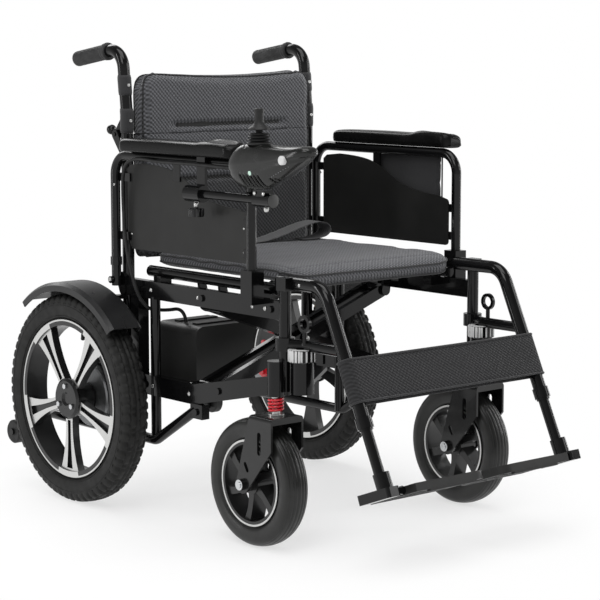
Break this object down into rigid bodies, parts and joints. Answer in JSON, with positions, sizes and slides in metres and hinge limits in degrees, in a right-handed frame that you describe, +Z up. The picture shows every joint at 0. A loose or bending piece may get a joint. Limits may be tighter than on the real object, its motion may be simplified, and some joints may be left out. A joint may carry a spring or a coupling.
{
  "type": "folding power wheelchair",
  "caption": "Folding powered wheelchair with alloy drive wheels, sprung casters, flip-back armrests, a joystick, folding back and a scissor cross-brace under the padded seat",
  "frame": {"origin": "middle of the bounding box at ground level", "axes": "+Z up, the chair drives towards -Y, +X is the user's left"},
  "size_m": [0.69, 1.177, 0.9136],
  "materials": {
    "frame_black": "gloss",
    "motor_grey": "satin",
    "bright_alloy": "satin",
    "zinc": "satin",
    "spring_red": "gloss",
    "tyre_black": "matte",
    "plastic_black": "satin",
    "grip_rubber": "matte",
    "cloth_grey": "woven",
    "webbing": "woven",
    "button_silver": "gloss"
  },
  "bodies": {
    "right_side": {"side_frame_right": "frame_black", "motor_right": "motor_grey", "fender_right": "plastic_black", "leg_hanger_right": "frame_black", "suspension_spring_right": "spring_red", "calf_strap": "webbing", "battery_box": "plastic_black", "back_cushion_lower": "cloth_grey", "joystick_cable": "plastic_black"},
    "left_side": {"side_frame_left": "frame_black", "motor_left": "motor_grey", "fender_left": "plastic_black", "leg_hanger_left": "frame_black", "suspension_spring_left": "spring_red"},
    "brace_a": {"cross_brace_a": "frame_black"},
    "brace_b": {"cross_brace_b": "frame_black"},
    "rail_left": {"seat_rail_left": "frame_black"},
    "rail_right": {"seat_rail_right": "frame_black", "seat_cushion": "cloth_grey", "seat_belt": "webbing"},
    "back_right": {"push_handle_right": "frame_black", "handle_grip_right": "grip_rubber", "back_cushion_upper": "cloth_grey"},
    "back_left": {"push_handle_left": "frame_black", "handle_grip_left": "grip_rubber"},
    "armrest_right": {"armrest_frame_right": "frame_black", "armrest_pad_right": "plastic_black", "side_panel_right": "plastic_black", "joystick_arm": "frame_black", "joystick_housing": "plastic_black"},
    "armrest_left": {"armrest_frame_left": "frame_black", "armrest_pad_left": "plastic_black", "side_panel_left": "plastic_black", "armrest_pouch": "webbing"},
    "gimbal": {"joystick_gimbal": "zinc"},
    "stick": {"joystick_stick": "grip_rubber"},
    "button": {"power_button": "button_silver"},
    "wheel_right": {"rear_tyre_right": "tyre_black", "rear_rim_right": "bright_alloy", "hub_cap_right": "plastic_black"},
    "clutch_right": {"clutch_lever_right": "spring_red"},
    "antitip_right": {"antitip_wheel_right": "grip_rubber"},
    "stem_right": {"caster_stem_right": "zinc"},
    "fork_right": {"caster_fork_right": "frame_black"},
    "caster_right": {"caster_rim_right": "bright_alloy", "caster_tyre_right": "tyre_black"},
    "footrest_right": {"footrest_tube_right": "frame_black"},
    "plate_right": {"footplate_right": "plastic_black"},
    "wheel_left": {"rear_tyre_left": "tyre_black", "rear_rim_left": "bright_alloy", "hub_cap_left": "plastic_black"},
    "clutch_left": {"clutch_lever_left": "spring_red"},
    "antitip_left": {"antitip_wheel_left": "grip_rubber"},
    "stem_left": {"caster_stem_left": "zinc"},
    "fork_left": {"caster_fork_left": "frame_black"},
    "caster_left": {"caster_rim_left": "bright_alloy", "caster_tyre_left": "tyre_black"},
    "footrest_left": {"footrest_tube_left": "frame_black"},
    "plate_left": {"footplate_left": "plastic_black"}
  },
  "joints": [
    {"name": "fold", "type": "slide", "parent": "right_side", "child": "left_side", "axis": [-1, 0, 0], "range_m": [0, 0.2], "deforming": ["seat_cushion", "seat_belt", "back_cushion_upper", "back_cushion_lower", "calf_strap"]},
    {"name": "brace_a_turn", "type": "hinge", "parent": "right_side", "child": "brace_a", "pos_m": [-0.218, -0.048, 0.262], "axis": [0, -1, 0], "range_deg": [0, 40.24]},
    {"name": "brace_b_turn", "type": "hinge", "parent": "left_side", "child": "brace_b", "pos_m": [0.218, -0.048, 0.262], "axis": [0, 1, 0], "range_deg": [0, 40.24]},
    {"name": "rail_left_turn", "type": "hinge", "parent": "brace_a", "child": "rail_left", "pos_m": [0.207, -0.048, 0.418], "axis": [0, -1, 0], "range_deg": [-40.24, 0]},
    {"name": "rail_right_turn", "type": "hinge", "parent": "brace_b", "child": "rail_right", "pos_m": [-0.207, -0.048, 0.418], "axis": [0, 1, 0], "range_deg": [-40.24, 0]},
    {"name": "wheel_right_spin", "type": "hinge", "parent": "right_side", "child": "wheel_right", "pos_m": [-0.307, 0.272, 0.21], "axis": [1, 0, 0], "continuous": true},
    {"name": "clutch_right_turn", "type": "hinge", "parent": "right_side", "child": "clutch_right", "pos_m": [-0.1757, 0.272, 0.21], "axis": [1, 0, 0], "range_deg": [0, 40]},
    {"name": "antitip_right_spin", "type": "hinge", "parent": "right_side", "child": "antitip_right", "pos_m": [-0.2668, 0.561, 0.092], "axis": [1, 0, 0], "continuous": true},
    {"name": "suspension_right", "type": "slide", "parent": "right_side", "child": "stem_right", "axis": [0, 0, 1], "range_m": [0, 0.012], "stiffness_N_per_m": 20000, "springref_m": -0.012, "deforming": ["suspension_spring_right"]},
    {"name": "caster_right_swivel", "type": "hinge", "parent": "stem_right", "child": "fork_right", "pos_m": [-0.262, -0.292, 0.244], "axis": [0, 0, 1], "continuous": true},
    {"name": "caster_right_spin", "type": "hinge", "parent": "fork_right", "child": "caster_right", "pos_m": [-0.262, -0.242, 0.119], "axis": [1, 0, 0], "continuous": true},
    {"name": "armrest_right_flip", "type": "hinge", "parent": "right_side", "child": "armrest_right", "pos_m": [-0.262, 0.196, 0.452], "axis": [-1, 0, 0], "range_deg": [0, 90], "deforming": ["joystick_cable"]},
    {"name": "footrest_right_length", "type": "slide", "parent": "right_side", "child": "footrest_right", "axis": [0, -0.4242, -0.9056], "range_m": [0, 0.06]},
    {"name": "plate_right_fold", "type": "hinge", "parent": "footrest_right", "child": "plate_right", "pos_m": [-0.204, -0.528, 0.137], "axis": [0, -0.9336, 0.3584], "range_deg": [0, 90]},
    {"name": "wheel_left_spin", "type": "hinge", "parent": "left_side", "child": "wheel_left", "pos_m": [0.307, 0.272, 0.21], "axis": [1, 0, 0], "continuous": true},
    {"name": "clutch_left_turn", "type": "hinge", "parent": "left_side", "child": "clutch_left", "pos_m": [0.1757, 0.272, 0.21], "axis": [1, 0, 0], "range_deg": [0, 40]},
    {"name": "antitip_left_spin", "type": "hinge", "parent": "left_side", "child": "antitip_left", "pos_m": [0.2668, 0.561, 0.092], "axis": [1, 0, 0], "continuous": true},
    {"name": "suspension_left", "type": "slide", "parent": "left_side", "child": "stem_left", "axis": [0, 0, 1], "range_m": [0, 0.012], "stiffness_N_per_m": 20000, "springref_m": -0.012, "deforming": ["suspension_spring_left"]},
    {"name": "caster_left_swivel", "type": "hinge", "parent": "stem_left", "child": "fork_left", "pos_m": [0.262, -0.292, 0.244], "axis": [0, 0, 1], "continuous": true},
    {"name": "caster_left_spin", "type": "hinge", "parent": "fork_left", "child": "caster_left", "pos_m": [0.262, -0.242, 0.119], "axis": [1, 0, 0], "continuous": true},
    {"name": "armrest_left_flip", "type": "hinge", "parent": "left_side", "child": "armrest_left", "pos_m": [0.262, 0.196, 0.452], "axis": [-1, 0, 0], "range_deg": [0, 90]},
    {"name": "footrest_left_length", "type": "slide", "parent": "left_side", "child": "footrest_left", "axis": [0, -0.4242, -0.9056], "range_m": [0, 0.06]},
    {"name": "plate_left_fold", "type": "hinge", "parent": "footrest_left", "child": "plate_left", "pos_m": [0.204, -0.528, 0.137], "axis": [0, 0.9336, -0.3584], "range_deg": [0, 90]},
    {"name": "back_fold", "type": "hinge", "parent": "right_side", "child": "back_right", "pos_m": [-0.234, 0.22, 0.736], "axis": [-1, 0, 0], "range_deg": [0, 90]},
    {"name": "back_left_fold", "type": "hinge", "parent": "left_side", "child": "back_left", "pos_m": [0.234, 0.22, 0.736], "axis": [-1, 0, 0], "range_deg": [0, 90]},
    {"name": "stick_fore_aft", "type": "hinge", "parent": "armrest_right", "child": "gimbal", "pos_m": [-0.301, -0.294, 0.746], "axis": [1, 0, 0], "range_deg": [-15, 15], "stiffness_Nm_per_rad": 0.6},
    {"name": "stick_side", "type": "hinge", "parent": "gimbal", "child": "stick", "pos_m": [-0.301, -0.294, 0.746], "axis": [0, 1, 0], "range_deg": [-15, 15], "stiffness_Nm_per_rad": 0.6},
    {"name": "power_press", "type": "slide", "parent": "armrest_right", "child": "button", "axis": [1, 0, 0], "range_m": [0, 0.0015], "stiffness_N_per_m": 900, "springref_m": -0.001}
  ],
  "couplings": [
    {"joint": "brace_a_turn", "follows": "fold", "rad_per_m": 3.4944},
    {"joint": "brace_b_turn", "follows": "fold", "rad_per_m": 3.4944},
    {"joint": "rail_left_turn", "follows": "fold", "rad_per_m": -3.4944},
    {"joint": "rail_right_turn", "follows": "fold", "rad_per_m": -3.4944},
    {"joint": "plate_right_fold", "follows": "fold", "rad_per_m": 7.8539},
    {"joint": "plate_left_fold", "follows": "fold", "rad_per_m": 7.8539},
    {"joint": "back_left_fold", "follows": "back_fold", "ratio": 1}
  ]
}
